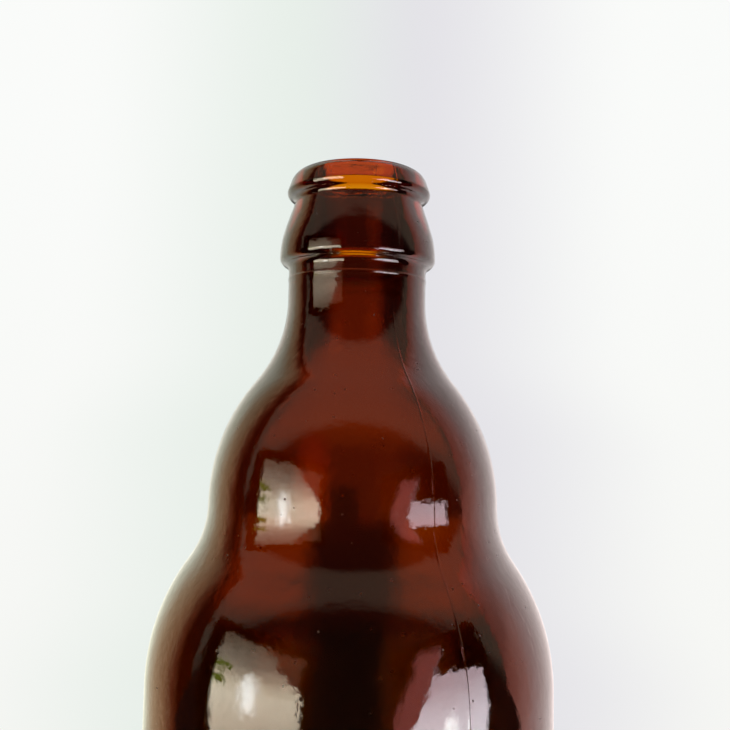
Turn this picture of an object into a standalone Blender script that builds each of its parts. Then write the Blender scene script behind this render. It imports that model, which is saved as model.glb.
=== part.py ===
"""An empty beer bottle of brown glass, in one piece: a crown-cap mouth with a bead and a collar,
a short neck, a round shoulder over a second, wider one, a straight body and a pushed-up base.

The bottle is drawn the way a mould maker draws it. Half of its section is a chain of straight
lines and arcs that run into each other, and that outline is turned once round the Z axis.
Metres, +Z up, with the origin on the axis at the plane that the bottle stands on.
"""

import math

import bpy

MM = 0.001

# Whole bottle
HEIGHT = 165.5 * MM
BODY_RADIUS = 36.3 * MM
BULGE_RADIUS = 26.3 * MM
NECK_RADIUS = 12.8 * MM

# Mouth, from the top down: a level land, its round edge, a flank that leans out to the bead that
# the cap grips, a groove and a collar
BORE_RADIUS = 7.8 * MM
LIP_ROUND = 1.3 * MM
LAND_RADIUS = 10.1 * MM
LAND_EDGE = 2.75 * MM
FLANK_LEAN = 20.0
FLANK = 2.1 * MM
BEAD_ROUND = 0.5 * MM
BEAD_UNDERSIDE_ARC = 1.2 * MM
GROOVE_RADIUS = 12.0 * MM
GROOVE_ARC = 0.9 * MM
COLLAR_LEAN = 18.6
COLLAR_SLANT = 4.9 * MM
COLLAR_SIDE_ARC = 17.5 * MM
COLLAR_CORNER = 1.4 * MM
COLLAR_TUCK = 68.0
NECK_FILLET = 1.4 * MM

# Shoulders: how far below the rim the neck ends, then a hollow and a round arc for each one
NECK_END = 24.3 * MM
UPPER_HOLLOW_ARC = 24.0 * MM
UPPER_ROUND_ARC = 35.2 * MM
LOWER_HOLLOW_ARC = 16.6 * MM
LOWER_ROUND_ARC = 36.4 * MM

# Base: a heel, a flat ring that carries the bottle, and the push-up inside it
HEEL_ARC = 6.0 * MM
BEARING_WIDTH = 2.8 * MM
PUSH_UP_EDGE = 2.0 * MM
PUSH_UP_LEAN = 20.0

# Hollow
WALL = 2.9 * MM
NECK_WALL = 4.0 * MM
BORE_STRAIGHT = 4.0 * MM
BORE_FLARE_ARC = 40.0 * MM
FLOOR_HEIGHT = 5.0 * MM
FLOOR_CORNER = 9.0 * MM
FLOOR_LEAN = 14.0

# Facets: an arc strays this far from its true circle at most, and turns this much at most
FACET_SAG = 0.06 * MM
FACET_TURN = 18.0
ROUND_STEPS = 48
MERGE_DISTANCE = 0.01 * MM

OUTWARDS = 0.0
INWARDS = 180.0
QUARTER_TURN = 90.0

GLASS_COLOUR = (0.13, 0.028, 0.007, 1.0)
GLASS_ROUGHNESS = 0.04
GLASS_IOR = 1.52


class Pen:
    """Draws half of the section in the XZ plane, and remembers the points it passes.

    Heading 0 points away from the axis, 90 down and 180 at the axis, so a turn above 0 is
    clockwise and makes the outside of the bottle round, and a turn below 0 makes it hollow.
    """

    def __init__(self, x, z, heading):
        self.x = x
        self.z = z
        self.heading = heading
        self.points = [(x, z)]

    def line(self, length):
        angle = math.radians(self.heading)
        self.x += length * math.cos(angle)
        self.z -= length * math.sin(angle)
        self.points.append((self.x, self.z))

    def line_to_radius(self, radius):
        self.line((radius - self.x) / math.cos(math.radians(self.heading)))

    def line_down_to(self, z):
        self.line(self.z - z)

    def arc(self, radius, turn):
        """Turns on a circle, in chords that keep to the two limits on facets."""
        sag_turn = 2 * math.degrees(math.acos(1 - FACET_SAG / radius))
        chords = math.ceil(abs(turn) / min(FACET_TURN, sag_turn))
        half_step = turn / chords / 2
        chord = 2 * radius * math.sin(math.radians(abs(half_step)))
        for _ in range(chords):
            self.heading += half_step
            self.line(chord)
            self.heading += half_step

    def sway(self, radius, first_arc, second_arc):
        """Moves over to a new radius on two opposite arcs, and goes on in the old direction."""
        shift = abs(radius - self.x)
        turn = math.degrees(math.acos(1 - shift / (first_arc + second_arc)))
        if radius > self.x:
            turn = -turn
        self.arc(first_arc, turn)
        self.arc(second_arc, -turn)

    def dome(self, lean):
        """Levels out from a lean on the one arc that ends on the axis."""
        self.arc(self.x / math.sin(math.radians(lean)), -lean)


def draw_mouth(pen):
    pen.line_to_radius(LAND_RADIUS)
    pen.arc(LAND_EDGE, QUARTER_TURN - FLANK_LEAN)
    pen.line(FLANK)
    pen.arc(BEAD_ROUND, FLANK_LEAN)
    pen.sway(GROOVE_RADIUS, BEAD_UNDERSIDE_ARC, GROOVE_ARC)
    pen.arc(GROOVE_ARC, -COLLAR_LEAN)
    pen.line(COLLAR_SLANT)
    pen.arc(COLLAR_SIDE_ARC, COLLAR_LEAN)
    pen.arc(COLLAR_CORNER, COLLAR_TUCK)
    pen.line_to_radius(NECK_RADIUS + NECK_FILLET * (1 - math.cos(math.radians(COLLAR_TUCK))))
    pen.arc(NECK_FILLET, -COLLAR_TUCK)


def draw_base(pen):
    pen.line_down_to(HEEL_ARC)
    pen.arc(HEEL_ARC, QUARTER_TURN)
    pen.line(BEARING_WIDTH)
    pen.arc(PUSH_UP_EDGE, PUSH_UP_LEAN)
    pen.dome(PUSH_UP_LEAN)


def outside():
    """The outside of the glass, from the lip down to the middle of the underside."""
    pen = Pen(BORE_RADIUS + LIP_ROUND, HEIGHT, OUTWARDS)
    draw_mouth(pen)
    pen.line_down_to(HEIGHT - NECK_END)
    pen.sway(BULGE_RADIUS, UPPER_HOLLOW_ARC, UPPER_ROUND_ARC)
    pen.sway(BODY_RADIUS, LOWER_HOLLOW_ARC, LOWER_ROUND_ARC)
    draw_base(pen)
    return pen.points


def inside():
    """The hollow, from the lip down to the middle of its floor, a wall's thickness further in."""
    pen = Pen(BORE_RADIUS + LIP_ROUND, HEIGHT, INWARDS)
    pen.arc(LIP_ROUND, -QUARTER_TURN)
    pen.line(BORE_STRAIGHT)
    pen.sway(NECK_RADIUS - NECK_WALL, BORE_FLARE_ARC, BORE_FLARE_ARC)
    pen.line_down_to(HEIGHT - NECK_END)
    pen.sway(BULGE_RADIUS - WALL, UPPER_HOLLOW_ARC + WALL, UPPER_ROUND_ARC - WALL)
    pen.sway(BODY_RADIUS - WALL, LOWER_HOLLOW_ARC + WALL, LOWER_ROUND_ARC - WALL)
    pen.line_down_to(FLOOR_HEIGHT + FLOOR_CORNER)
    pen.arc(FLOOR_CORNER, QUARTER_TURN + FLOOR_LEAN)
    pen.dome(FLOOR_LEAN)
    return pen.points


def section():
    """The closed half section: up the hollow from its floor, over the lip and down the outside."""
    points = inside()[:0:-1] + outside()
    points[0] = (0.0, points[0][1])
    points[-1] = (0.0, points[-1][1])
    return points


def amber_glass():
    material = bpy.data.materials.new("amber_glass")
    material.use_nodes = True
    shader = material.node_tree.nodes["Principled BSDF"]
    shader.inputs["Base Color"].default_value = GLASS_COLOUR
    shader.inputs["Roughness"].default_value = GLASS_ROUGHNESS
    shader.inputs["Metallic"].default_value = 0.0
    shader.inputs["IOR"].default_value = GLASS_IOR
    shader.inputs["Transmission Weight"].default_value = 1.0
    material.diffuse_color = GLASS_COLOUR
    return material


def turned_bottle():
    """Turns the half section once round the Z axis into one closed body."""
    points = section()
    vertices = [(x, 0.0, z) for x, z in points]
    edges = [(i, i + 1) for i in range(len(points) - 1)]
    mesh = bpy.data.meshes.new("bottle")
    mesh.from_pydata(vertices, edges, [])
    mesh.materials.append(amber_glass())
    bottle = bpy.data.objects.new("bottle", mesh)
    bpy.context.scene.collection.objects.link(bottle)
    turn = bottle.modifiers.new("Turn", "SCREW")
    turn.axis = "Z"
    turn.angle = 2 * math.pi
    turn.steps = ROUND_STEPS
    turn.render_steps = ROUND_STEPS
    turn.use_merge_vertices = True
    turn.merge_threshold = MERGE_DISTANCE
    turn.use_smooth_shade = True
    return bottle


def main():
    for thing in list(bpy.data.objects):
        bpy.data.objects.remove(thing)
    turned_bottle()


main()
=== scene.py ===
# %% [markdown]
# An empty beer bottle of brown glass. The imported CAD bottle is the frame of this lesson: it has
# the right size and outline, but its round is cut into 48 flat steps, its two skins are perfectly
# true and it has no mould seams. Glass shows every one of those things, because each ray of light
# bends at four skins on its way through. So the lesson turns a finer bottle from the same outline,
# gives it seams and an uneven inside, colours the glass by its thickness, and lights it like the
# photograph: a white wall right behind it and two windows in front.

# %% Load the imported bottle
import math

import bmesh
import bpy
from mathutils import Matrix, Vector, noise


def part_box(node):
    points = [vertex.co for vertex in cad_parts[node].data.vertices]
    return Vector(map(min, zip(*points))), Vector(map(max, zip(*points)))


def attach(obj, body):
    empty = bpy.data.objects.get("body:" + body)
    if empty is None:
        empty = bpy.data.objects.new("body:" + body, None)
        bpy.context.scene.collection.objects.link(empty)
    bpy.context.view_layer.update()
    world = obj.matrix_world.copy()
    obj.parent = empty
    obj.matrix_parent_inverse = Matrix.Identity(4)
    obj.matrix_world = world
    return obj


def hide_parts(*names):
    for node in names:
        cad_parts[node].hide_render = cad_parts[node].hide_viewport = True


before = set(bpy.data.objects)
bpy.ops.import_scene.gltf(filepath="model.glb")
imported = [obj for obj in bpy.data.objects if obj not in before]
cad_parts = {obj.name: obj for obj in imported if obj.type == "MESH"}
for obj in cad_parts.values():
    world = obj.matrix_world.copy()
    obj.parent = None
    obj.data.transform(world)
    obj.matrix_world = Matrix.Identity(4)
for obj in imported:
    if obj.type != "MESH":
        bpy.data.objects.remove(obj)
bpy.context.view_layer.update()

MM = 0.001
low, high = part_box("bottle")
print("CAD bottle: %.1f mm across, %.1f mm tall" % ((high[0] - low[0]) / MM, (high[2] - low[2]) / MM))

# %% [markdown]
# The camera comes first, because it decides what the photograph's outline means. The photograph
# looks slightly up at the bottle from close by, a little below its mouth, and it cuts the bottle
# off above the base. A long lens from far away would give the same outline of the body, but the
# ellipse of the mouth would be too flat. So the camera stands where the ellipses of the mouth,
# the collar and the body all agree.

# %% Camera
IMAGE_SIZE = 730
SENSOR = 36.0
FOCAL_PIXELS = 900.0
CAMERA_DISTANCE = 167.5 * MM
CAMERA_HEIGHT = 115.9 * MM
CAMERA_PITCH = math.radians(4.59)
CAMERA_ROLL = math.radians(1.16)
AXIS_LEFT_OF_CENTRE = 9.6

camera_data = bpy.data.cameras.new("camera")
camera_data.sensor_width = SENSOR
camera_data.lens = SENSOR * FOCAL_PIXELS / IMAGE_SIZE
camera_data.shift_x = AXIS_LEFT_OF_CENTRE / IMAGE_SIZE
camera = bpy.data.objects.new("camera", camera_data)
bpy.context.scene.collection.objects.link(camera)
stand = Vector((0.0, -CAMERA_DISTANCE, CAMERA_HEIGHT))
camera.matrix_world = (
    Matrix.Translation(stand)
    @ Matrix.Rotation(math.pi / 2 + CAMERA_PITCH, 4, "X")
    @ Matrix.Rotation(CAMERA_ROLL, 4, "Z")
)
bpy.context.scene.camera = camera
print("Camera: %.1f mm lens, %.0f mm from the axis" % (camera_data.lens, CAMERA_DISTANCE / MM))

# %% [markdown]
# A mould maker draws a bottle as a chain of straight lines and arcs that run into each other, and
# turns that chain once round the axis. The same works here with bmesh: a vertex that is extruded
# draws a line, and a vertex that is spun round a centre draws an arc, so the chain is made of real
# arcs, with no table of points. The helper below does both, and keeps the direction in which it
# last went, so that the next arc starts smoothly.

# %% A pencil that draws with bmesh operators
CHORD = 1.5 * MM
MOST_TURN = math.radians(7.5)
OUTWARDS = 0.0
INWARDS = 180.0
QUARTER_TURN = 90.0


class Pencil:
    """Draws in the XZ plane. Heading 0 points away from the axis, 90 down and 180 at the axis."""

    def __init__(self, bm, x, z, heading):
        self.bm = bm
        self.heading = heading
        self.tip = bmesh.ops.create_vert(bm, co=(x, 0.0, z))["vert"][0]

    def ahead(self, length, side=0.0):
        angle = math.radians(self.heading + side)
        return Vector((length * math.cos(angle), 0.0, -length * math.sin(angle)))

    def line(self, length, pieces=1):
        for _ in range(pieces):
            new = bmesh.ops.extrude_vert_indiv(self.bm, verts=[self.tip])["verts"]
            bmesh.ops.translate(self.bm, verts=new, vec=self.ahead(length / pieces))
            self.tip = new[0]

    def line_to_radius(self, radius):
        self.line((radius - self.tip.co.x) / math.cos(math.radians(self.heading)))

    def line_down_to(self, z, pieces=1):
        self.line(self.tip.co.z - z, pieces)

    def arc(self, radius, turn):
        angle = math.radians(turn)
        steps = max(math.ceil(radius * abs(angle) / CHORD), math.ceil(abs(angle) / MOST_TURN))
        centre = self.tip.co + self.ahead(radius, QUARTER_TURN if turn > 0 else -QUARTER_TURN)
        spun = bmesh.ops.spin(
            self.bm, geom=[self.tip], cent=centre, axis=(0, 1, 0), angle=angle, steps=steps
        )
        self.tip = [v for v in spun["geom_last"] if isinstance(v, bmesh.types.BMVert)][0]
        self.heading += turn

    def sway(self, radius, first_arc, second_arc):
        """Moves over to a new radius on two opposite arcs, and goes on in the old direction."""
        shift = abs(radius - self.tip.co.x)
        turn = math.degrees(math.acos(1 - shift / (first_arc + second_arc)))
        if radius > self.tip.co.x:
            turn = -turn
        self.arc(first_arc, turn)
        self.arc(second_arc, -turn)

    def dome(self, lean):
        """Levels out from a lean on the one arc that ends on the axis."""
        self.arc(self.tip.co.x / math.sin(math.radians(lean)), -lean)


print("The pencil's chords are at most %.1f mm long" % (CHORD / MM))

# %% [markdown]
# The outside of the glass. The mouth of such a bottle is for a crown cap: a level land that the
# cap's liner seals on, a flank that leans out to the bead that the cap grips, a groove under it,
# and a collar that the opener and the filling machine hold. Below the neck come two shoulders,
# each a hollow arc that runs into a round one, then the straight body, a round heel, the flat ring
# that the bottle stands on, and a base that is pushed up. The values repeat the CAD source's, so
# that the fine bottle stands exactly where the CAD bottle does. The one thing added is a hairline
# ring on the neck, where the mould of the mouth met the mould of the body.

# %% Sizes of the outside
BOTTLE_HEIGHT = 165.5 * MM
BODY_RADIUS = 36.3 * MM
BULGE_RADIUS = 26.3 * MM
NECK_RADIUS = 12.8 * MM
NECK_END = 24.3 * MM
BORE_RADIUS = 7.8 * MM
LIP_ROUND = 1.3 * MM
LAND_RADIUS = 10.1 * MM
LAND_EDGE = 2.75 * MM
FLANK_LEAN = 20.0
FLANK = 2.1 * MM
BEAD_ROUND = 0.5 * MM
BEAD_UNDERSIDE_ARC = 1.2 * MM
GROOVE_RADIUS = 12.0 * MM
GROOVE_ARC = 0.9 * MM
COLLAR_LEAN = 18.6
COLLAR_SLANT = 4.9 * MM
COLLAR_SIDE_ARC = 17.5 * MM
COLLAR_CORNER = 1.4 * MM
COLLAR_TUCK = 68.0
NECK_FILLET = 1.4 * MM
PARTING_RING_HEIGHT = 145.3 * MM
PARTING_RING_RELIEF = 0.10 * MM
PARTING_RING_ARC = 0.4 * MM
UPPER_HOLLOW_ARC = 24.0 * MM
UPPER_ROUND_ARC = 35.2 * MM
LOWER_HOLLOW_ARC = 16.6 * MM
LOWER_ROUND_ARC = 36.4 * MM
HEEL_ARC = 6.0 * MM
BEARING_WIDTH = 2.8 * MM
PUSH_UP_EDGE = 2.0 * MM
PUSH_UP_LEAN = 20.0
print("Outside: %.1f mm tall, %.1f mm across" % (BOTTLE_HEIGHT / MM, 2 * BODY_RADIUS / MM))

# %% Outline of the outside


def draw_mouth(pencil):
    pencil.line_to_radius(LAND_RADIUS)
    pencil.arc(LAND_EDGE, QUARTER_TURN - FLANK_LEAN)
    pencil.line(FLANK, pieces=2)
    pencil.arc(BEAD_ROUND, FLANK_LEAN)
    pencil.sway(GROOVE_RADIUS, BEAD_UNDERSIDE_ARC, GROOVE_ARC)
    pencil.arc(GROOVE_ARC, -COLLAR_LEAN)
    pencil.line(COLLAR_SLANT, pieces=3)
    pencil.arc(COLLAR_SIDE_ARC, COLLAR_LEAN)
    pencil.arc(COLLAR_CORNER, COLLAR_TUCK)
    tuck = math.radians(COLLAR_TUCK)
    pencil.line_to_radius(NECK_RADIUS + NECK_FILLET * (1 - math.cos(tuck)))
    pencil.arc(NECK_FILLET, -COLLAR_TUCK)


def draw_base(pencil):
    pencil.line_down_to(HEEL_ARC, pieces=16)
    pencil.arc(HEEL_ARC, QUARTER_TURN)
    pencil.line(BEARING_WIDTH, pieces=2)
    pencil.arc(PUSH_UP_EDGE, PUSH_UP_LEAN)
    pencil.dome(PUSH_UP_LEAN)


def draw_outside(bm):
    pencil = Pencil(bm, BORE_RADIUS + LIP_ROUND, BOTTLE_HEIGHT, OUTWARDS)
    draw_mouth(pencil)
    pencil.line_down_to(PARTING_RING_HEIGHT)
    pencil.sway(NECK_RADIUS + PARTING_RING_RELIEF, PARTING_RING_ARC, PARTING_RING_ARC)
    pencil.sway(NECK_RADIUS, PARTING_RING_ARC, PARTING_RING_ARC)
    pencil.line_down_to(BOTTLE_HEIGHT - NECK_END, pieces=3)
    pencil.sway(BULGE_RADIUS, UPPER_HOLLOW_ARC, UPPER_ROUND_ARC)
    pencil.sway(BODY_RADIUS, LOWER_HOLLOW_ARC, LOWER_ROUND_ARC)
    draw_base(pencil)
    return pencil


# %% [markdown]
# The inside runs a wall's thickness further in. A blown bottle has one true skin, the one that
# touched the mould, and its inside is only as even as the hot glass let it be. The inside is drawn
# true here and made uneven after the turning.

# %% Outline of the inside
WALL = 2.9 * MM
NECK_WALL = 4.0 * MM
BORE_STRAIGHT = 4.0 * MM
BORE_FLARE_ARC = 40.0 * MM
FLOOR_HEIGHT = 5.0 * MM
FLOOR_CORNER = 9.0 * MM
FLOOR_LEAN = 14.0


def draw_inside(bm):
    pencil = Pencil(bm, BORE_RADIUS + LIP_ROUND, BOTTLE_HEIGHT, INWARDS)
    pencil.arc(LIP_ROUND, -QUARTER_TURN)
    pencil.line(BORE_STRAIGHT, pieces=3)
    pencil.sway(NECK_RADIUS - NECK_WALL, BORE_FLARE_ARC, BORE_FLARE_ARC)
    pencil.line_down_to(BOTTLE_HEIGHT - NECK_END, pieces=4)
    pencil.sway(BULGE_RADIUS - WALL, UPPER_HOLLOW_ARC + WALL, UPPER_ROUND_ARC - WALL)
    pencil.sway(BODY_RADIUS - WALL, LOWER_HOLLOW_ARC + WALL, LOWER_ROUND_ARC - WALL)
    pencil.line_down_to(FLOOR_HEIGHT + FLOOR_CORNER, pieces=16)
    pencil.arc(FLOOR_CORNER, QUARTER_TURN + FLOOR_LEAN)
    pencil.dome(FLOOR_LEAN)
    return pencil


print("Wall: %.1f mm thick, %.1f mm in the neck" % (WALL / MM, NECK_WALL / MM))

# %% [markdown]
# Spin turns the outline once round the axis. It could do so in one go, but a seam is much narrower
# than a step, and cutting it into faces that lie anyhow beside it leaves slivers that glitter. So
# the turn stops and starts again at each seam, with one step of its own across it, and the seam's
# edges are then cut into that step alone.

# %% Turn the outline once round the axis
SEAM_AZIMUTH = 29.5
SEAM_STEP = 1.6
STEPS_BETWEEN_SEAMS = 90
MERGE_DISTANCE = 0.001 * MM
HALF_TURN = 180.0

bm = bmesh.new()
outside = draw_outside(bm)
inside = draw_inside(bm)
for v in (outside.tip, inside.tip):
    v.co.x = 0.0
bmesh.ops.remove_doubles(bm, verts=bm.verts, dist=MERGE_DISTANCE)
outline_points = len(bm.verts)
first_turn = Matrix.Rotation(math.radians(SEAM_AZIMUTH - QUARTER_TURN + SEAM_STEP / 2), 3, "Z")
bmesh.ops.rotate(bm, verts=bm.verts, cent=(0, 0, 0), matrix=first_turn)
edge_of_turn = bm.verts[:] + bm.edges[:]
for angle, steps in 2 * [(HALF_TURN - SEAM_STEP, STEPS_BETWEEN_SEAMS), (SEAM_STEP, 1)]:
    turned = bmesh.ops.spin(
        bm, geom=edge_of_turn, cent=(0, 0, 0), axis=(0, 0, 1), angle=math.radians(angle), steps=steps
    )
    edge_of_turn = turned["geom_last"]
bmesh.ops.remove_doubles(bm, verts=bm.verts, dist=MERGE_DISTANCE)
bmesh.ops.recalc_face_normals(bm, faces=bm.faces)
print("Outline of %d points, body of %d faces" % (outline_points, len(bm.faces)))
print("Open edges:", sum(1 for e in bm.edges if not e.is_manifold))

# %% [markdown]
# The mould's halves met on two lines up the bottle, and a little glass was pressed into the gap.
# What is left is a ridge that can hardly be felt, but it bends light as a lens does, so it shows as
# a thin bright line with a dark one beside it. Two planes on each side cut the ridge's foot and its
# top. The new points lie on the flat of their step, so they are first moved out to the circle, and
# then the top is raised along the surface's own normals.

# %% Cut the mould seams
SEAM_HALF_WIDTH = 0.05 * MM
SEAM_FOOT = 0.14 * MM
LOWEST_SEAM = 5.0 * MM
INNERMOST_SEAM = 11.4 * MM
CUT_TOLERANCE = 0.01 * MM

seam_angle = math.radians(SEAM_AZIMUTH)
seam_direction = Vector((math.sin(seam_angle), -math.cos(seam_angle), 0.0))
seam_side = Vector((0, 0, 1)).cross(seam_direction)
widest = BODY_RADIUS * math.sin(math.radians(SEAM_STEP / 2))


def is_outside(point, normal):
    """True on the outer skin, whose normals point away from the axis."""
    return normal.x * point.x + normal.y * point.y > 0


def faces_at_seams():
    """The outer faces of the two steps that the seams run on."""
    faces = []
    for f in bm.faces:
        middle = f.calc_center_median()
        near = abs(middle.dot(seam_side)) < widest and middle.xy.length > INNERMOST_SEAM
        if near and middle.z > LOWEST_SEAM and is_outside(middle, f.normal):
            faces.append(f)
    return faces


for offset in (-SEAM_FOOT, -SEAM_HALF_WIDTH, SEAM_HALF_WIDTH, SEAM_FOOT):
    faces = faces_at_seams()
    edges = list(dict.fromkeys(e for f in faces for e in f.edges))
    verts = list(dict.fromkeys(v for f in faces for v in f.verts))
    bmesh.ops.bisect_plane(
        bm, geom=verts + edges + faces, dist=MERGE_DISTANCE,
        plane_co=seam_side * offset, plane_no=seam_side,
    )
print("Seams: cut into %d faces" % len(faces_at_seams()))

# %% Raise the mould seams
SEAM_HEIGHT = 0.035 * MM
LOWEST_RIDGE = LOWEST_SEAM + 1 * MM
HIGHEST_RIDGE = BOTTLE_HEIGHT - 1.5 * MM
RIDGE_GRAIN = 90.0
EVEN_PART = 0.75
UNEVEN_PART = 0.5

across_step = math.cos(math.radians(SEAM_STEP / 2))
for v in bm.verts:
    if abs(v.co.dot(seam_side)) < SEAM_FOOT + CUT_TOLERANCE and v.co.xy.length > INNERMOST_SEAM:
        radius = abs(v.co.dot(seam_direction)) / across_step
        v.co.xy = v.co.xy.normalized() * radius
bm.normal_update()
ridge = []
for v in bm.verts:
    on_top = abs(v.co.dot(seam_side)) < SEAM_HALF_WIDTH + CUT_TOLERANCE
    on_outside = v.co.xy.length > INNERMOST_SEAM and is_outside(v.co, v.normal)
    if on_top and on_outside and LOWEST_RIDGE < v.co.z < HIGHEST_RIDGE:
        ridge.append(v)
for v in ridge:
    v.co += v.normal * SEAM_HEIGHT * (EVEN_PART + UNEVEN_PART * noise.noise(v.co * RIDGE_GRAIN))
print("Seams: %d vertices raised" % len(ridge))

# %% [markdown]
# The inside gets long, shallow waves and a finer ripple. They are mesh and not bump, because the
# light passes the inside twice on its way through the bottle. They fade out towards the lip and the
# floor. The same fade goes into a vertex attribute, which tells the material where the inside's
# skin is: the mould never touched it, so it mirrors the windows only as a soft glow.

# %% Uneven inside
WAVE = 0.30 * MM
RIPPLE = 0.06 * MM
WAVE_GRAIN = (45, 22)
RIPPLE_GRAIN = (160, 90)
RIPPLE_ELSEWHERE = Vector((7, 3, 1))
EVEN_END = 8 * MM
FADE_BELOW_LIP = 20 * MM
FADE_ABOVE_FLOOR = 10 * MM


def grain_point(point, grain):
    """Where to read the noise for a point, with a grain across the bottle and one up it."""
    across, up = grain
    return Vector((point.x * across, point.y * across, point.z * up))


bm.normal_update()
inner_skin = bm.verts.layers.float.new("inner_skin")
moved = 0.0
for v in bm.verts:
    depth = BOTTLE_HEIGHT - v.co.z
    if is_outside(v.co, v.normal) or v.co.z < EVEN_END or depth < EVEN_END:
        continue
    below_lip = min(1.0, (depth - EVEN_END) / FADE_BELOW_LIP)
    above_floor = min(1.0, (v.co.z - EVEN_END) / FADE_ABOVE_FLOOR)
    fade = below_lip * above_floor
    v[inner_skin] = fade
    wave = noise.noise(grain_point(v.co, WAVE_GRAIN))
    ripple = noise.noise(grain_point(v.co, RIPPLE_GRAIN) + RIPPLE_ELSEWHERE)
    shift = fade * (WAVE * wave + RIPPLE * ripple)
    moved = max(moved, abs(shift))
    v.co += v.normal * shift
print("Inside: up to %.2f mm off its true round" % (moved / MM))

# %% [markdown]
# The mesh is finer than the eye can follow, so smooth shading hides what is left of its facets,
# and the bottle becomes an object of its own.

# %% Finish the mesh
bmesh.ops.recalc_face_normals(bm, faces=bm.faces)
for f in bm.faces:
    f.smooth = True
mesh = bpy.data.meshes.new("glass_bottle")
bm.to_mesh(mesh)
bm.free()
bottle = bpy.data.objects.new("glass_bottle", mesh)
bpy.context.scene.collection.objects.link(bottle)
print("Bottle: %d faces" % len(mesh.polygons))

# %% [markdown]
# Materials are made of nodes. These helpers keep the cells below short: each adds one node, or a
# few that belong together, and gives back the socket that the next one needs.

# %% Helpers for nodes


def new_tree(name):
    """A new material and its emptied node tree."""
    material = bpy.data.materials.new(name)
    material.use_nodes = True
    material.node_tree.nodes.clear()
    return material, material.node_tree


def add(tree, kind, **values):
    """A new node, with its properties and plain socket values set by name."""
    node = tree.nodes.new(kind)
    for name, value in values.items():
        if hasattr(node, name):
            setattr(node, name, value)
        else:
            node.inputs[name.replace("_", " ")].default_value = value
    return node


def feed(tree, socket, value):
    """Links an output to a socket, or sets the socket's own value."""
    if isinstance(value, bpy.types.NodeSocket):
        tree.links.new(value, socket)
    elif isinstance(value, tuple) and len(value) == 3 and socket.type == "RGBA":
        socket.default_value = (*value, 1.0)
    else:
        socket.default_value = value


def math_node(tree, operation, a, b=0.0, c=0.0):
    node = add(tree, "ShaderNodeMath", operation=operation)
    for socket, value in zip(node.inputs, (a, b, c)):
        feed(tree, socket, value)
    return node.outputs[0]


def product(tree, first, *others):
    for other in others:
        first = math_node(tree, "MULTIPLY", first, other)
    return first


def split_xyz(tree, vector):
    """A node whose outputs X, Y and Z are a vector's three parts."""
    node = add(tree, "ShaderNodeSeparateXYZ")
    tree.links.new(vector, node.inputs[0])
    return node


# %% Helpers for soft shapes and colours


def soft_step(tree, value, start, end):
    """Goes smoothly from 0 at start to 1 at end."""
    node = add(tree, "ShaderNodeMapRange", interpolation_type="SMOOTHSTEP")
    feed(tree, node.inputs["Value"], value)
    feed(tree, node.inputs["From Min"], start)
    feed(tree, node.inputs["From Max"], end)
    return node.outputs["Result"]


def soft_box(tree, u, v, box, soft):
    """1 inside a rectangle of the u, v plane and 0 outside it, with soft edges."""
    left, right, bottom, top = box
    return product(
        tree,
        soft_step(tree, u, left - soft, left + soft),
        soft_step(tree, u, right + soft, right - soft),
        soft_step(tree, v, bottom - soft, bottom + soft),
        soft_step(tree, v, top + soft, top - soft),
    )


def mix(tree, factor, a, b):
    """Colour a where the factor is 0 and colour b where it is 1."""
    node = add(tree, "ShaderNodeMix", data_type="RGBA")
    feed(tree, node.inputs[0], factor)
    feed(tree, node.inputs[6], a)
    feed(tree, node.inputs[7], b)
    return node.outputs[2]


def ramp(tree, value, span, stops):
    """A colour for each place of a list, and the colours between them."""
    lowest, highest = span
    scale = add(tree, "ShaderNodeMapRange", From_Min=lowest, From_Max=highest)
    feed(tree, scale.inputs["Value"], value)
    node = add(tree, "ShaderNodeValToRGB")
    elements = node.color_ramp.elements
    while len(elements) < len(stops):
        elements.new(0.5)
    for element, (at, colour) in zip(elements, stops):
        element.position = (at - lowest) / (highest - lowest)
        element.color = (*colour, 1.0)
    tree.links.new(scale.outputs["Result"], node.inputs["Fac"])
    return node.outputs["Color"]


# %% [markdown]
# A bottle that was washed and handled is smooth, with a faint orange peel, smears and a little
# dust. One group holds all three and gives them out as a roughness and a height, so that another
# piece of glass could share it. Smears come from a cloudy noise, and dust from the cells of a
# Voronoi pattern, of which only a few are chosen.

# %% A surface that was handled
SMEAR_RANGE = (0.52, 0.75)
SPECK_RANGE = (0.16, 0.10)
SHARE_WITH_SPECKS = 0.08


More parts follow.
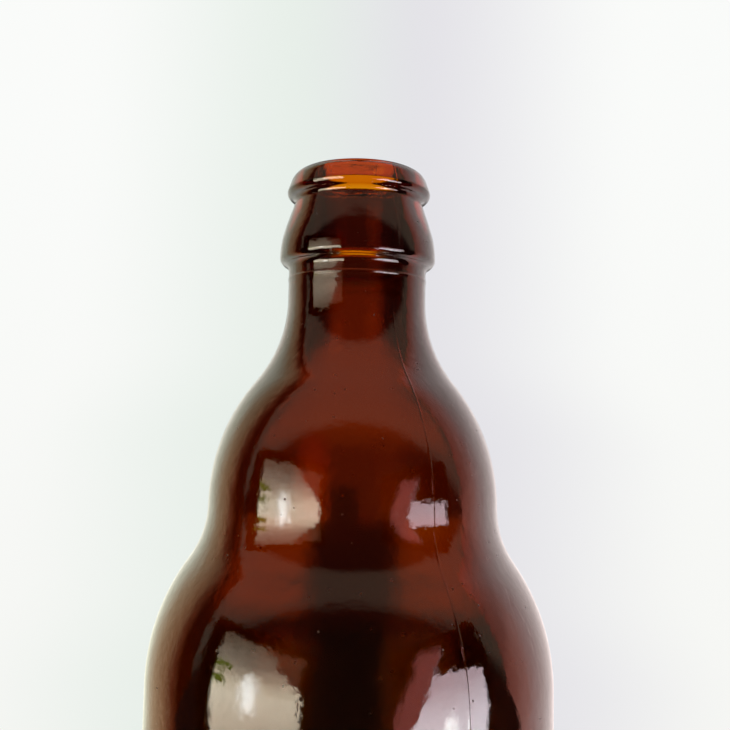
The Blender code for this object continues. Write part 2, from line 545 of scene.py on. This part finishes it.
def handled_surface():
    """Roughness and height of glass that was handled: smears, dust and orange peel."""
    group = bpy.data.node_groups.new("handled_surface", "ShaderNodeTree")
    face = group.interface
    face.new_socket(name="Vector", in_out="INPUT", socket_type="NodeSocketVector")
    face.new_socket(name="Smears", in_out="INPUT", socket_type="NodeSocketFloat")
    face.new_socket(name="Specks", in_out="INPUT", socket_type="NodeSocketFloat")
    face.new_socket(name="Roughness", in_out="OUTPUT", socket_type="NodeSocketFloat")
    face.new_socket(name="Height", in_out="OUTPUT", socket_type="NodeSocketFloat")
    inp = add(group, "NodeGroupInput")
    out = add(group, "NodeGroupOutput")
    smear = add(group, "ShaderNodeTexNoise", Scale=90.0, Detail=4.0, Roughness=0.6)
    speck = add(group, "ShaderNodeTexVoronoi", Scale=650.0)
    peel = add(group, "ShaderNodeTexNoise", Scale=380.0, Detail=4.0, Roughness=0.55)
    for node in (smear, speck, peel):
        group.links.new(inp.outputs["Vector"], node.inputs["Vector"])
    smeared = soft_step(group, smear.outputs["Fac"], *SMEAR_RANGE)
    near = soft_step(group, speck.outputs["Distance"], *SPECK_RANGE)
    chance = add(group, "ShaderNodeSeparateColor")
    group.links.new(speck.outputs["Color"], chance.inputs["Color"])
    chosen = math_node(group, "GREATER_THAN", chance.outputs["Red"], 1.0 - SHARE_WITH_SPECKS)
    from_smears = product(group, smeared, inp.outputs["Smears"])
    from_specks = product(group, near, chosen, inp.outputs["Specks"])
    total = math_node(group, "ADD", from_smears, from_specks)
    group.links.new(total, out.inputs["Roughness"])
    group.links.new(peel.outputs["Fac"], out.inputs["Height"])
    return group


# %% [markdown]
# Brown glass owes its colour to the way that light takes through it, so the colour is a Volume
# Absorption and not a surface tint: the lip stays orange where the light crosses one thin wall, and
# the neck turns a deep red-brown where it crosses two thick ones. Each colour falls to a third
# within its own length of glass: blue within a millimetre, green within three and red within
# twelve. The inside's skin is rougher than the outside's, by the attribute that the mesh carries.

# %% Amber glass
GLASS_TINT = (1.0, 0.98, 0.95, 1.0)
GLASS_IOR = 1.52
ABSORPTION_COLOUR = (0.935, 0.75, 0.0, 1.0)
ABSORPTION_DENSITY = 1300.0
SMEAR_ROUGHNESS = 0.05
SPECK_ROUGHNESS = 0.6
INNER_ROUGHNESS = 0.16
PEEL_STRENGTH = 0.5
PEEL_DEPTH = 0.12 * MM


def amber_glass():
    material, tree = new_tree("amber_glass")
    link = tree.links.new
    out = add(tree, "ShaderNodeOutputMaterial")
    shader = add(tree, "ShaderNodeBsdfPrincipled", IOR=GLASS_IOR, Metallic=0.0)
    shader.inputs["Base Color"].default_value = GLASS_TINT
    shader.inputs["Transmission Weight"].default_value = 1.0
    volume = add(tree, "ShaderNodeVolumeAbsorption", Color=ABSORPTION_COLOUR)
    volume.inputs["Density"].default_value = ABSORPTION_DENSITY
    where = add(tree, "ShaderNodeTexCoord")
    surface = add(tree, "ShaderNodeGroup", node_tree=handled_surface())
    surface.inputs["Smears"].default_value = SMEAR_ROUGHNESS
    surface.inputs["Specks"].default_value = SPECK_ROUGHNESS
    link(where.outputs["Object"], surface.inputs["Vector"])
    inner = add(tree, "ShaderNodeAttribute", attribute_name="inner_skin")
    from_inside = product(tree, inner.outputs["Fac"], INNER_ROUGHNESS)
    roughness = math_node(tree, "ADD", from_inside, surface.outputs["Roughness"])
    link(roughness, shader.inputs["Roughness"])
    bump = add(tree, "ShaderNodeBump", Strength=PEEL_STRENGTH, Distance=PEEL_DEPTH)
    link(surface.outputs["Height"], bump.inputs["Height"])
    link(bump.outputs["Normal"], shader.inputs["Normal"])
    link(shader.outputs["BSDF"], out.inputs["Surface"])
    link(volume.outputs["Volume"], out.inputs["Volume"])
    return material


mesh.materials.append(amber_glass())

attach(bottle, "root")
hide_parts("bottle")
for name, kept in zip(("Red", "Green", "Blue"), ABSORPTION_COLOUR):
    print("%s falls to a third within %.1f mm" % (name, 1 / (ABSORPTION_DENSITY * (1 - kept)) / MM))

# %% [markdown]
# The bottle nearly touches a white wall, and that wall is all that shines through it. Where the
# bottle stands, the wall is in its own shade: the light that reaches it there has come through
# brown glass, so the glass is seen against brown and not against white. A path tracer finds such
# light only with far too many samples, so the wall glows by paint, and each kind of ray sees the
# part of it that matters. Rays that have come through the glass see the bottle's shade, by height
# and by the distance from the axis, wider where the bottle is wider, and those that come down
# through the lip see the lit wall below the mouth. The geometry node's Incoming points back along
# a ray, so its Z is above 0 for a ray that comes down.

# %% Paint of the bottle's shade, with heights in mm
SHADE_SPAN = (0.0, 200.0)
SHADE_BEHIND_MIDDLE = [
    (74, (0.002, 0.001, 0.0)),
    (80, (0.02, 0.006, 0.002)),
    (92, (0.03, 0.01, 0.004)),
    (98, (0.10, 0.028, 0.008)),
    (115, (0.12, 0.04, 0.01)),
    (122, (0.26, 0.14, 0.05)),
    (133, (0.26, 0.14, 0.05)),
    (138, (0.17, 0.075, 0.02)),
    (149, (0.17, 0.075, 0.02)),
    (152, (0.07, 0.05, 0.04)),
    (171, (0.06, 0.04, 0.03)),
    (176, (0.95, 0.95, 0.93)),
]
SHADE_BEHIND_SIDES = [
    (70, (0.004, 0.001, 0.0)),
    (77, (0.02, 0.006, 0.003)),
    (84, (0.27, 0.14, 0.03)),
    (94, (0.24, 0.12, 0.025)),
    (99, (0.05, 0.014, 0.004)),
    (115, (0.07, 0.02, 0.006)),
    (122, (0.25, 0.13, 0.06)),
    (133, (0.22, 0.11, 0.05)),
    (138, (0.03, 0.01, 0.004)),
    (171, (0.03, 0.015, 0.01)),
    (176, (0.95, 0.95, 0.93)),
]
MIDDLE_TO_SIDES = (8.0, 15.0)
# Two painted patches in the bottle's shade: a patch of orange light and a patch of deeper shade.
GLOW_PATCH = (0.22, 0.055, 0.010)
GLOW_BOX = (-14.0, -7.0, 95.0, 119.0)
DARK_PATCH = (0.035, 0.010, 0.003)
DARK_BOX = (-6.5, 1.0, 91.0, 106.5)
DEEP_SHADE = (0.014, 0.004, 0.003)
SHADE_TO_DEEP = (-4.0, 4.0)
LIT_LEFT = (0.93, 0.96, 0.925)
LIT_RIGHT = (0.94, 0.915, 0.945)
GOING_DOWN = (0.09, 0.17)
UNDER_MOUTH = (-20.5, 20.5, 130.0, 170.0)
print("Shade: %d heights behind the middle" % len(SHADE_BEHIND_MIDDLE))

# %% The wall as seen through the glass


def wall_through_glass(tree, x, z, right_half, beyond):
    """The bottle's own shade, and the lit wall for rays that come down below the mouth."""
    middle = ramp(tree, z, SHADE_SPAN, SHADE_BEHIND_MIDDLE)
    sides = ramp(tree, z, SHADE_SPAN, SHADE_BEHIND_SIDES)
    side = math_node(tree, "ABSOLUTE", x)
    shade = mix(tree, soft_step(tree, side, *MIDDLE_TO_SIDES), middle, sides)
    shade = mix(tree, soft_box(tree, x, z, GLOW_BOX, soft=1.5), shade, GLOW_PATCH)
    shade = mix(tree, soft_box(tree, x, z, DARK_BOX, soft=0.6), shade, DARK_PATCH)
    shade = mix(tree, soft_step(tree, beyond, *SHADE_TO_DEEP), shade, DEEP_SHADE)
    ray = add(tree, "ShaderNodeNewGeometry")
    back_along_ray = split_xyz(tree, ray.outputs["Incoming"])
    going_down = soft_step(tree, back_along_ray.outputs["Z"], *GOING_DOWN)
    under_mouth = soft_box(tree, x, z, UNDER_MOUTH, soft=2.0)
    lit = mix(tree, right_half, LIT_LEFT, LIT_RIGHT)
    return mix(tree, product(tree, going_down, under_mouth), shade, lit)


# %% [markdown]
# Rays that the glass mirrors see the lit wall beside the bottle. It is white close by and turns
# redder further off, because the photograph's glass fades in that way from its outline inwards. The
# camera sees the plain wall with a soft shadow on it.

# %% The wall as mirrored and as seen by the camera, with distances in mm
MIRRORED_SPAN = (-300.0, 1200.0)
MIRRORED_ACROSS = [
    (-290, (0.20, 0.02, 0.0)),
    (-198, (0.75, 0.18, 0.07)),
    (-135, (1.40, 0.72, 0.36)),
    (-92, (1.40, 0.95, 0.56)),
    (-60, (1.40, 1.38, 1.08)),
    (0, (1.2, 1.2, 1.2)),
    (80, (1.6, 1.30, 1.25)),
    (125, (1.7, 1.10, 1.04)),
    (190, (1.9, 0.88, 0.76)),
    (330, (1.8, 0.64, 0.50)),
    (1100, (1.6, 0.42, 0.30)),
]
MIRRORED_ABOVE = (1.1, 0.38, 0.22)
UP_TO_ABOVE = (600.0, 1000.0)
BESIDE_MOUTH = (110.0, 180.0)
DIMMING_BESIDE_MOUTH = 0.25
UNLIT = (0.035, 0.030, 0.028)
SHADE_TO_LIT = (-3.0, 6.0)
SEEN_BELOW = (0.92, 0.925, 0.90)
SEEN_ABOVE = (0.955, 0.965, 0.95)
BELOW_TO_ABOVE = (30.0, 200.0)
SHADOW_LEFT = (0.80, 0.86, 0.81)
SHADOW_RIGHT = (0.77, 0.76, 0.80)
SHADOW_FADE = (48.0, -12.0)


def wall_mirrored(tree, x, z, beyond):
    lit = ramp(tree, x, MIRRORED_SPAN, MIRRORED_ACROSS)
    dimming = product(tree, soft_step(tree, z, *BESIDE_MOUTH), DIMMING_BESIDE_MOUTH)
    lit = mix(tree, dimming, lit, UNLIT)
    lit = mix(tree, soft_step(tree, z, *UP_TO_ABOVE), lit, MIRRORED_ABOVE)
    return mix(tree, soft_step(tree, beyond, *SHADE_TO_LIT), UNLIT, lit)


def wall_for_camera(tree, z, right_half, beyond):
    plain = mix(tree, soft_step(tree, z, *BELOW_TO_ABOVE), SEEN_BELOW, SEEN_ABOVE)
    shadow = mix(tree, right_half, SHADOW_LEFT, SHADOW_RIGHT)
    return mix(tree, soft_step(tree, beyond, *SHADOW_FADE), plain, shadow)


print("Lit wall: %d places across" % len(MIRRORED_ACROSS))

# %% [markdown]
# The wall itself is one upright sheet. It is one-sided, so that the bottle can be seen from behind
# too: from there, the sheet is clear.

# %% Wall
WALL_GAP = 0.7 * MM
WALL_Y = BODY_RADIUS + WALL_GAP
WALL_HEIGHT = 2.0
STAGE_HALF_WIDTH = 1.5
NECK_SHADE = 20.0
BULGE_SHADE = 33.0
BODY_SHADE = 44.0
NECK_TO_BULGE = (138.0, 112.0)
BULGE_TO_BODY = (84.0, 58.0)
LEFT_TO_RIGHT = (-20.0, 20.0)


def plane(name, corners, material):
    """A flat sheet of the stage."""
    mesh = bpy.data.meshes.new(name)
    sheet = bmesh.new()
    sheet.faces.new([sheet.verts.new(c) for c in corners])
    sheet.to_mesh(mesh)
    sheet.free()
    mesh.materials.append(material)
    thing = bpy.data.objects.new(name, mesh)
    bpy.context.scene.collection.objects.link(thing)
    return thing


def shade_width(tree, z):
    """Half the width of the bottle's shade in mm at a height in mm."""
    to_bulge = soft_step(tree, z, *NECK_TO_BULGE)
    to_body = soft_step(tree, z, *BULGE_TO_BODY)
    width = math_node(tree, "MULTIPLY_ADD", to_bulge, BULGE_SHADE - NECK_SHADE, NECK_SHADE)
    return math_node(tree, "MULTIPLY_ADD", to_body, BODY_SHADE - BULGE_SHADE, width)


def wall_colour(tree):
    """The painted light and shade that each kind of ray sees of the wall."""
    where = add(tree, "ShaderNodeTexCoord")
    in_mm = add(tree, "ShaderNodeVectorMath", operation="SCALE")
    in_mm.inputs["Scale"].default_value = 1 / MM
    tree.links.new(where.outputs["Object"], in_mm.inputs[0])
    axes = split_xyz(tree, in_mm.outputs[0])
    x, z = axes.outputs["X"], axes.outputs["Z"]
    right_half = soft_step(tree, x, *LEFT_TO_RIGHT)
    beyond = math_node(tree, "SUBTRACT", math_node(tree, "ABSOLUTE", x), shade_width(tree, z))
    mirrored = wall_mirrored(tree, x, z, beyond)
    through = wall_through_glass(tree, x, z, right_half, beyond)
    straight = wall_for_camera(tree, z, right_half, beyond)
    path = add(tree, "ShaderNodeLightPath")
    colour = mix(tree, path.outputs["Is Transmission Ray"], mirrored, through)
    return mix(tree, path.outputs["Is Camera Ray"], colour, straight)


def wall_painted_light_and_shade():
    material, tree = new_tree("wall_painted_light_and_shade")
    out = add(tree, "ShaderNodeOutputMaterial")
    # The emission is painted light and painted shade: the lit wall, the bottle's shade on it and a
    # soft shadow beside it.
    glow = add(tree, "ShaderNodeEmission", Strength=1.0)
    tree.links.new(wall_colour(tree), glow.inputs["Color"])
    clear = add(tree, "ShaderNodeBsdfTransparent")
    facing = add(tree, "ShaderNodeNewGeometry")
    one_sided = add(tree, "ShaderNodeMixShader")
    feed(tree, one_sided.inputs[0], facing.outputs["Backfacing"])
    feed(tree, one_sided.inputs[1], glow.outputs[0])
    feed(tree, one_sided.inputs[2], clear.outputs[0])
    tree.links.new(one_sided.outputs[0], out.inputs["Surface"])
    return material


wall_corners = [
    (-STAGE_HALF_WIDTH, WALL_Y, 0),
    (STAGE_HALF_WIDTH, WALL_Y, 0),
    (STAGE_HALF_WIDTH, WALL_Y, WALL_HEIGHT),
    (-STAGE_HALF_WIDTH, WALL_Y, WALL_HEIGHT),
]
plane("backdrop", wall_corners, wall_painted_light_and_shade())
print("Wall: %.1f mm behind the glass" % (WALL_GAP / MM))

# %% [markdown]
# The floor lies below the photograph's edge. It is pale for the camera, in the other views, and
# clear for the glass, which would otherwise mirror a white floor that the photograph doesn't have.

# %% Floor
FLOOR_SEEN = (0.60, 0.61, 0.60)


def floor_paper():
    material, tree = new_tree("floor_paper")
    out = add(tree, "ShaderNodeOutputMaterial")
    path = add(tree, "ShaderNodeLightPath")
    glow = add(tree, "ShaderNodeEmission", Strength=1.0)
    feed(tree, glow.inputs["Color"], FLOOR_SEEN)
    clear = add(tree, "ShaderNodeBsdfTransparent")
    pick = add(tree, "ShaderNodeMixShader")
    feed(tree, pick.inputs[0], path.outputs["Is Camera Ray"])
    feed(tree, pick.inputs[1], clear.outputs[0])
    feed(tree, pick.inputs[2], glow.outputs[0])
    tree.links.new(pick.outputs[0], out.inputs["Surface"])
    return material


floor_corners = [
    (-STAGE_HALF_WIDTH, -STAGE_HALF_WIDTH, 0),
    (STAGE_HALF_WIDTH, -STAGE_HALF_WIDTH, 0),
    (STAGE_HALF_WIDTH, STAGE_HALF_WIDTH, 0),
    (-STAGE_HALF_WIDTH, STAGE_HALF_WIDTH, 0),
]
plane("floor", floor_corners, floor_paper())
print("Floor: %.1f m square" % (2 * STAGE_HALF_WIDTH))

# %% [markdown]
# Two windows stand in front of the bottle, and their reflections draw its form: a far one on the
# left, and a near, bright one low on the right. An area light would give each a hard, even
# rectangle. A real window has a bright core, more light low down than high up, a plant on the sill
# and edges that uneven glass makes ragged, so each window is a sheet that glows by its own
# coordinates, u to the right and v up as the bottle sees them, in metres. The camera doesn't see
# them, and rays that have gone through the bottle see them much dimmer, so that the inside doesn't
# glitter.

# %% Helpers for windows
LEVEL = 100 * MM
WINDOW_STRENGTH = 12.0
SHARE_INSIDE = 0.12
EVEN_SHARE = 0.3
UNEVEN_SHARE = 1.4


def window(name, azimuth, distance, box, material):
    """A glowing sheet that stands upright and faces the axis."""
    left, right, bottom, top = box
    corners = [(left, bottom, 0), (left, top, 0), (right, top, 0), (right, bottom, 0)]
    sheet = plane(name, corners, material)
    angle = math.radians(azimuth)
    along = Vector((math.cos(angle), math.sin(angle), 0.0))
    outwards = Vector((math.sin(angle), -math.cos(angle), 0.0))
    turn = Matrix((along, (0, 0, 1), outwards)).transposed().to_4x4()
    sheet.matrix_world = Matrix.Translation(outwards * distance + Vector((0, 0, LEVEL))) @ turn
    sheet.visible_camera = False
    print("%s: %.1f m away" % (name, distance))


def window_glass(name, paint, ragged, grain):
    """A material that glows by its own u and v, which noise makes ragged."""
    material, tree = new_tree(name)
    out = add(tree, "ShaderNodeOutputMaterial")
    where = add(tree, "ShaderNodeTexCoord")
    rough = add(tree, "ShaderNodeTexNoise", Scale=grain, Detail=8.0, Roughness=0.75)
    tree.links.new(where.outputs["Object"], rough.inputs["Vector"])
    shift = add(tree, "ShaderNodeVectorMath", operation="MULTIPLY_ADD")
    tree.links.new(rough.outputs["Color"], shift.inputs[0])
    shift.inputs[1].default_value = (ragged, ragged, 0.0)
    tree.links.new(where.outputs["Object"], shift.inputs[2])
    axes = split_xyz(tree, shift.outputs[0])
    u = math_node(tree, "SUBTRACT", axes.outputs["X"], ragged / 2)
    v = math_node(tree, "SUBTRACT", axes.outputs["Y"], ragged / 2)
    path = add(tree, "ShaderNodeLightPath")
    gone_through = path.outputs["Is Transmission Ray"]
    share = math_node(tree, "MULTIPLY_ADD", gone_through, SHARE_INSIDE - 1.0, 1.0)
    uneven = math_node(tree, "MULTIPLY_ADD", rough.outputs["Fac"], UNEVEN_SHARE, EVEN_SHARE)
    colour, opening = paint(tree, u, v)
    strength = product(tree, opening, WINDOW_STRENGTH, share, uneven)
    glow = add(tree, "ShaderNodeEmission")
    feed(tree, glow.inputs["Color"], colour)
    feed(tree, glow.inputs["Strength"], strength)
    tree.links.new(glow.outputs[0], out.inputs["Surface"])
    return material


# %% Left window
LEFT_SHEET = (-0.75, 0.80, -0.7, 0.6)
LEFT_OPENING = (-0.49, 0.68, -0.60, 0.46)
LEFT_SPAN = (-0.4, 0.6)
LEFT_LIGHT = [
    (-0.40, (0.66, 0.56, 0.42)),
    (-0.05, (0.90, 0.80, 0.61)),
    (0.05, (0.74, 0.64, 0.47)),
    (0.14, (0.47, 0.39, 0.28)),
    (0.26, (0.25, 0.205, 0.150)),
    (0.40, (0.14, 0.105, 0.07)),
    (0.55, (0.11, 0.07, 0.045)),
]
CURTAIN = (0.085, 0.034, 0.020)
CURTAIN_SLOPE = 0.755
CURTAIN_EDGE = (0.55, 0.59)
LEAF = (0.10, 0.13, 0.010)
LOWER_LEAF = (-0.54, -0.29, 0.00, 0.065)
UPPER_LEAF = (-0.54, -0.27, 0.14, 0.21)
LEFT_CORE = (1.6, 1.6, 1.5)
LEFT_CORE_BOX = (-0.05, 0.09, -0.20, 0.10)


def left_window_paint(tree, u, v):
    """Bright low down, a corner cut off by a curtain, and a plant at the far left."""
    light = ramp(tree, v, LEFT_SPAN, LEFT_LIGHT)
    curtain_line = math_node(tree, "MULTIPLY_ADD", u, CURTAIN_SLOPE, v)
    colour = mix(tree, soft_step(tree, curtain_line, *CURTAIN_EDGE), light, CURTAIN)
    lower_leaf = soft_box(tree, u, v, LOWER_LEAF, soft=0.015)
    upper_leaf = soft_box(tree, u, v, UPPER_LEAF, soft=0.015)
    colour = mix(tree, math_node(tree, "MAXIMUM", lower_leaf, upper_leaf), colour, LEAF)
    colour = mix(tree, soft_box(tree, u, v, LEFT_CORE_BOX, soft=0.09), colour, LEFT_CORE)
    return colour, soft_box(tree, u, v, LEFT_OPENING, soft=0.015)


left_window = window_glass("left_window", left_window_paint, ragged=0.20, grain=20.0)
window("window_left", azimuth=-54, distance=1.2, box=LEFT_SHEET, material=left_window)

# %% Right window
RIGHT_SHEET = (-0.15, 0.06, -0.098, 0.08)
RIGHT_SPAN = (-0.10, 0.04)
RIGHT_LIGHT = [
    (-0.10, (1.0, 0.93, 0.98)),
    (-0.05, (0.95, 0.84, 0.91)),
    (0.00, (0.62, 0.47, 0.51)),
    (0.03, (0.60, 0.45, 0.50)),
]
RIGHT_CORE = (1.8, 1.8, 1.8)
RIGHT_CORE_BOX = (-0.040, -0.022, -0.12, -0.050)
LEAN = -0.60
PANE_EDGE = (-0.069, -0.063)
PANE_TOP_SLOPE = 0.07
PANE_TOP = (0.0145, 0.0115)
RIGHT_END = (0.047, 0.043)
STRIP = (0.20, 0.055, 0.050)
STRIP_EDGE = (-0.128, -0.105)
STRIP_TOP = (0.065, 0.045)


def right_window_paint(tree, u, v):
    """Brighter towards its foot, with a left side that leans and a strip of warm wall beside it."""
    light = ramp(tree, v, RIGHT_SPAN, RIGHT_LIGHT)
    light = mix(tree, soft_box(tree, u, v, RIGHT_CORE_BOX, soft=0.012), light, RIGHT_CORE)
    leaning = math_node(tree, "MULTIPLY_ADD", v, LEAN, u)
    on_pane = soft_step(tree, leaning, *PANE_EDGE)
    colour = mix(tree, on_pane, STRIP, light)
    height = math_node(tree, "MULTIPLY_ADD", u, PANE_TOP_SLOPE, v)
    below_pane_top = soft_step(tree, height, *PANE_TOP)
    off_pane = math_node(tree, "SUBTRACT", 1.0, on_pane)
    below_strip_top = product(tree, soft_step(tree, v, *STRIP_TOP), off_pane)
    below_top = math_node(tree, "MAXIMUM", below_pane_top, below_strip_top)
    from_strip_on = soft_step(tree, leaning, *STRIP_EDGE)
    return colour, product(tree, from_strip_on, below_top, soft_step(tree, u, *RIGHT_END))


right_window = window_glass("right_window", right_window_paint, ragged=0.016, grain=160.0)
window("window_right", azimuth=58, distance=0.2, box=RIGHT_SHEET, material=right_window)

# %% [markdown]
# The rest of the room is dim, apart from its pale ceiling. The ceiling's near edge is a straight
# line above the camera, and every round part of the bottle mirrors it as a curve: it is the milky
# band on each shoulder, whose lower border sags at the sides. Rays that have gone through the glass
# see the room darker still. The camera itself sees pale surroundings where there is no wall, so
# that the views from the sides and the back stay plain.

# %% Room
CEILING_ELEVATION = math.radians(48.0)
CEILING_EDGE = (-0.03, 0.11)
CEILING = (0.50, 0.38, 0.27)
DIM = (0.030, 0.024, 0.020)
INSIDE = (0.020, 0.010, 0.006)
PALE = (0.86, 0.87, 0.86)


def room_light():
    world = bpy.data.worlds.new("room")
    world.use_nodes = True
    tree = world.node_tree
    tree.nodes.clear()
    out = add(tree, "ShaderNodeOutputWorld")
    where = add(tree, "ShaderNodeTexCoord")
    above = add(tree, "ShaderNodeVectorMath", operation="DOT_PRODUCT")
    above.inputs[1].default_value = (0.0, math.sin(CEILING_ELEVATION), math.cos(CEILING_ELEVATION))
    tree.links.new(where.outputs["Generated"], above.inputs[0])
    room = mix(tree, soft_step(tree, above.outputs["Value"], *CEILING_EDGE), DIM, CEILING)
    path = add(tree, "ShaderNodeLightPath")
    room = mix(tree, path.outputs["Is Transmission Ray"], room, INSIDE)
    colour = mix(tree, path.outputs["Is Camera Ray"], room, PALE)
    background = add(tree, "ShaderNodeBackground", Strength=1.0)
    tree.links.new(colour, background.inputs["Color"])
    tree.links.new(background.outputs[0], out.inputs["Surface"])
    return world


bpy.context.scene.world = room_light()
print("Ceiling: its edge is %.0f degrees up" % math.degrees(CEILING_ELEVATION))

# %% [markdown]
# Light crosses four skins of the bottle on its way through, and more at the lip and the collar, so
# the paths need more bounces than Cycles gives by default. The Standard view keeps the white wall
# white.

# %% Colours and light paths
scene = bpy.context.scene
scene.view_settings.view_transform = "Standard"
scene.view_settings.look = "None"
scene.cycles.max_bounces = 20
scene.cycles.transmission_bounces = 20
scene.cycles.glossy_bounces = 8
print("Light paths: up to %d bounces" % scene.cycles.max_bounces)
